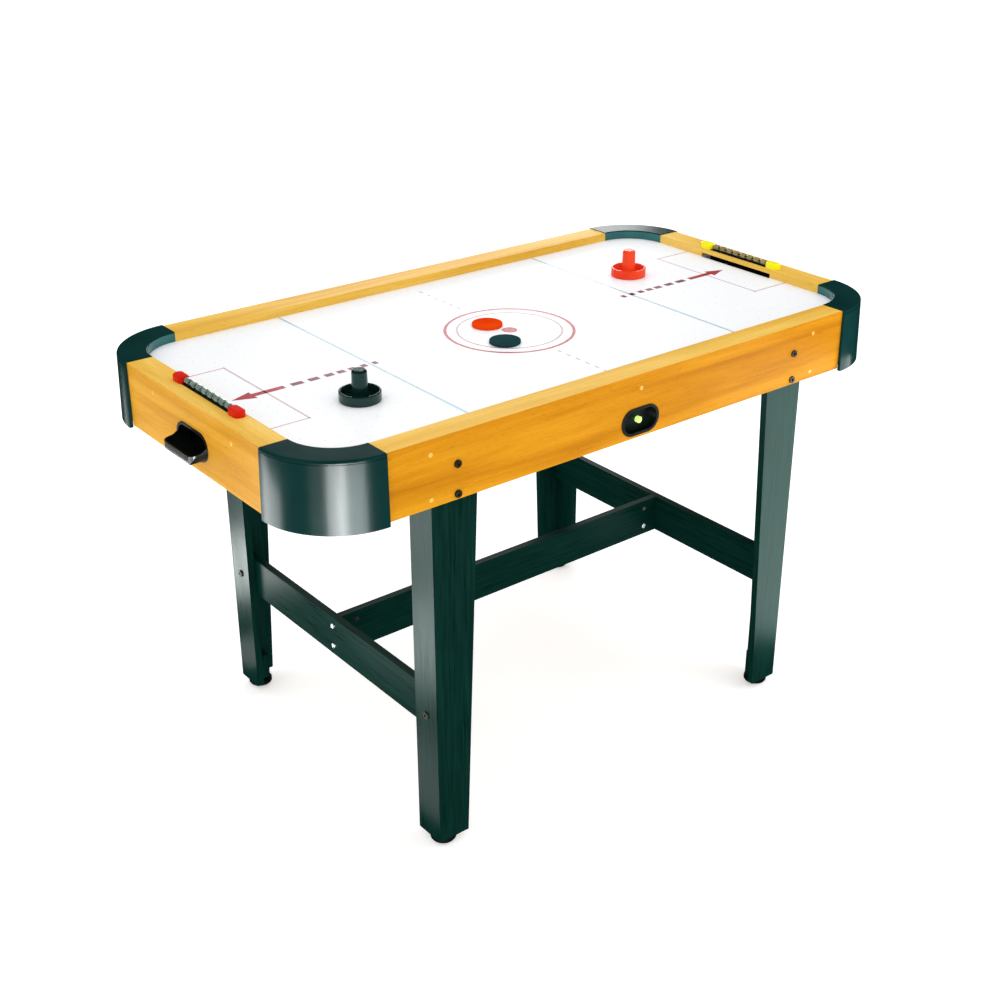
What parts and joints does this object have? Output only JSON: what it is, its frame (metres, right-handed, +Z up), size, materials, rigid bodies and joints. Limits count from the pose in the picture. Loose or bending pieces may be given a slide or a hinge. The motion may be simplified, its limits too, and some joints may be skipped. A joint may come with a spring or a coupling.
{
  "type": "air hockey table",
  "caption": "Air hockey table: white air playfield in a wood-grain frame with rounded corner caps, H-braced tapered legs, goals, bead scorers, pushers and pucks.",
  "frame": {"origin": "on the floor under the middle of the table", "axes": "+X along the table, -Y towards the side with the switch, +Z up"},
  "size_m": [1.434, 0.765, 0.8688],
  "materials": {
    "beech_foil": "satin beech wood-grain foil on board",
    "playfield_laminate": "smooth white laminate with printed lines",
    "raw_board": "raw fibre board",
    "cap_plastic": "satin moulded plastic",
    "leg_lacquer": "satin dark foil on board",
    "dark_bolt": "black oxide",
    "zinc_screw": "bright zinc",
    "black_plastic": "moulded black plastic",
    "motor_steel": "plated motor can",
    "green_button": "translucent green",
    "red_post": "gloss red",
    "yellow_post": "gloss yellow",
    "smoke_bead": "smoked gloss",
    "dark_bead": "dark gloss",
    "pusher_black": "gloss black",
    "pusher_red": "gloss red",
    "puck_orange": "satin orange",
    "puck_black": "satin black"
  },
  "bodies": {
    "root": {"apron_back": "beech_foil", "apron_front": "beech_foil", "apron_left": "beech_foil", "apron_right": "beech_foil", "centre_stretcher": "leg_lacquer", "corner_cap_back_left": "cap_plastic", "corner_cap_back_right": "cap_plastic", "corner_cap_front_left": "cap_plastic", "corner_cap_front_right": "cap_plastic", "end_stretcher_left": "leg_lacquer", "end_stretcher_right": "leg_lacquer", "fan_frame": "black_plastic", "fan_motor": "motor_steel", "goal_box_left": "black_plastic", "goal_box_right": "black_plastic", "leg_back_left": "leg_lacquer", "leg_back_right": "leg_lacquer", "leg_bolts": "dark_bolt", "leg_front_left": "leg_lacquer", "leg_front_right": "leg_lacquer", "playfield_panel": "playfield_laminate", "plenum_base": "raw_board", "plenum_frame": "raw_board", "power_inlet": "black_plastic", "rail_back": "beech_foil", "rail_front": "beech_foil", "rail_left": "beech_foil", "rail_right": "beech_foil", "scorer_posts_left": "red_post", "scorer_posts_right": "yellow_post", "scorer_rod_left": "black_plastic", "scorer_rod_right": "black_plastic", "stretcher_connectors": "zinc_screw", "switch_bezel": "black_plastic"},
    "fan_rotor": {"fan_rotor": "black_plastic"},
    "leveller_back_left": {"leveller_back_left": "black_plastic"},
    "leveller_back_right": {"leveller_back_right": "black_plastic"},
    "leveller_front_left": {"leveller_front_left": "black_plastic"},
    "leveller_front_right": {"leveller_front_right": "black_plastic"},
    "power_button": {"power_button": "green_button"},
    "puck_black": {"puck_black": "puck_black"},
    "puck_orange": {"puck_orange": "puck_orange"},
    "pusher_black": {"pusher_black": "pusher_black"},
    "pusher_red": {"pusher_red": "pusher_red"},
    "score_bead_left_1": {"score_bead_left_1": "smoke_bead"},
    "score_bead_left_2": {"score_bead_left_2": "smoke_bead"},
    "score_bead_left_3": {"score_bead_left_3": "smoke_bead"},
    "score_bead_left_4": {"score_bead_left_4": "smoke_bead"},
    "score_bead_left_5": {"score_bead_left_5": "smoke_bead"},
    "score_bead_left_6": {"score_bead_left_6": "smoke_bead"},
    "score_bead_left_7": {"score_bead_left_7": "smoke_bead"},
    "score_bead_left_8": {"score_bead_left_8": "smoke_bead"},
    "score_bead_right_1": {"score_bead_right_1": "dark_bead"},
    "score_bead_right_2": {"score_bead_right_2": "dark_bead"},
    "score_bead_right_3": {"score_bead_right_3": "dark_bead"},
    "score_bead_right_4": {"score_bead_right_4": "dark_bead"},
    "score_bead_right_5": {"score_bead_right_5": "dark_bead"},
    "score_bead_right_6": {"score_bead_right_6": "dark_bead"},
    "score_bead_right_7": {"score_bead_right_7": "dark_bead"},
    "score_bead_right_8": {"score_bead_right_8": "dark_bead"}
  },
  "joints": [
    {"name": "fan_rotor_spin", "type": "hinge", "parent": "root", "child": "fan_rotor", "pos_m": [0, 0, 0.747], "axis": [0, 0, 1], "continuous": true},
    {"name": "leveller_back_left_screw", "type": "slide", "parent": "root", "child": "leveller_back_left", "axis": [0, 0, -1], "range_m": [0, 0.015]},
    {"name": "leveller_back_right_screw", "type": "slide", "parent": "root", "child": "leveller_back_right", "axis": [0, 0, -1], "range_m": [0, 0.015]},
    {"name": "leveller_front_left_screw", "type": "slide", "parent": "root", "child": "leveller_front_left", "axis": [0, 0, -1], "range_m": [0, 0.015]},
    {"name": "leveller_front_right_screw", "type": "slide", "parent": "root", "child": "leveller_front_right", "axis": [0, 0, -1], "range_m": [0, 0.015]},
    {"name": "power_button_press", "type": "slide", "parent": "root", "child": "power_button", "axis": [0, 1, 0], "range_m": [0, 0.003], "stiffness_N_per_m": 400, "springref_m": -0.002},
    {"name": "puck_black_glide", "type": "slide", "parent": "root", "child": "puck_black", "axis": [1, 0, 0], "range_m": [-0.538, 0.655]},
    {"name": "puck_orange_glide", "type": "slide", "parent": "root", "child": "puck_orange", "axis": [1, 0, 0], "range_m": [-0.57, 0.62]},
    {"name": "pusher_black_glide", "type": "slide", "parent": "root", "child": "pusher_black", "axis": [1, 0, 0], "range_m": [-0.15, 0.38]},
    {"name": "pusher_red_glide", "type": "slide", "parent": "root", "child": "pusher_red", "axis": [1, 0, 0], "range_m": [-0.35, 0.17]},
    {"name": "score_bead_left_1_slide", "type": "slide", "parent": "root", "child": "score_bead_left_1", "axis": [0, 1, 0], "range_m": [-0.0032, 0.0032]},
    {"name": "score_bead_left_2_slide", "type": "slide", "parent": "root", "child": "score_bead_left_2", "axis": [0, 1, 0], "range_m": [-0.0032, 0.0032]},
    {"name": "score_bead_left_3_slide", "type": "slide", "parent": "root", "child": "score_bead_left_3", "axis": [0, 1, 0], "range_m": [-0.0032, 0.0032]},
    {"name": "score_bead_left_4_slide", "type": "slide", "parent": "root", "child": "score_bead_left_4", "axis": [0, 1, 0], "range_m": [-0.0032, 0.0032]},
    {"name": "score_bead_left_5_slide", "type": "slide", "parent": "root", "child": "score_bead_left_5", "axis": [0, 1, 0], "range_m": [-0.0032, 0.0032]},
    {"name": "score_bead_left_6_slide", "type": "slide", "parent": "root", "child": "score_bead_left_6", "axis": [0, 1, 0], "range_m": [-0.0032, 0.0032]},
    {"name": "score_bead_left_7_slide", "type": "slide", "parent": "root", "child": "score_bead_left_7", "axis": [0, 1, 0], "range_m": [-0.0032, 0.0032]},
    {"name": "score_bead_left_8_slide", "type": "slide", "parent": "root", "child": "score_bead_left_8", "axis": [0, 1, 0], "range_m": [-0.0032, 0.0032]},
    {"name": "score_bead_right_1_slide", "type": "slide", "parent": "root", "child": "score_bead_right_1", "axis": [0, 1, 0], "range_m": [-0.0032, 0.0032]},
    {"name": "score_bead_right_2_slide", "type": "slide", "parent": "root", "child": "score_bead_right_2", "axis": [0, 1, 0], "range_m": [-0.0032, 0.0032]},
    {"name": "score_bead_right_3_slide", "type": "slide", "parent": "root", "child": "score_bead_right_3", "axis": [0, 1, 0], "range_m": [-0.0032, 0.0032]},
    {"name": "score_bead_right_4_slide", "type": "slide", "parent": "root", "child": "score_bead_right_4", "axis": [0, 1, 0], "range_m": [-0.0032, 0.0032]},
    {"name": "score_bead_right_5_slide", "type": "slide", "parent": "root", "child": "score_bead_right_5", "axis": [0, 1, 0], "range_m": [-0.0032, 0.0032]},
    {"name": "score_bead_right_6_slide", "type": "slide", "parent": "root", "child": "score_bead_right_6", "axis": [0, 1, 0], "range_m": [-0.0032, 0.0032]},
    {"name": "score_bead_right_7_slide", "type": "slide", "parent": "root", "child": "score_bead_right_7", "axis": [0, 1, 0], "range_m": [-0.0032, 0.0032]},
    {"name": "score_bead_right_8_slide", "type": "slide", "parent": "root", "child": "score_bead_right_8", "axis": [0, 1, 0], "range_m": [-0.0032, 0.0032]}
  ]
}
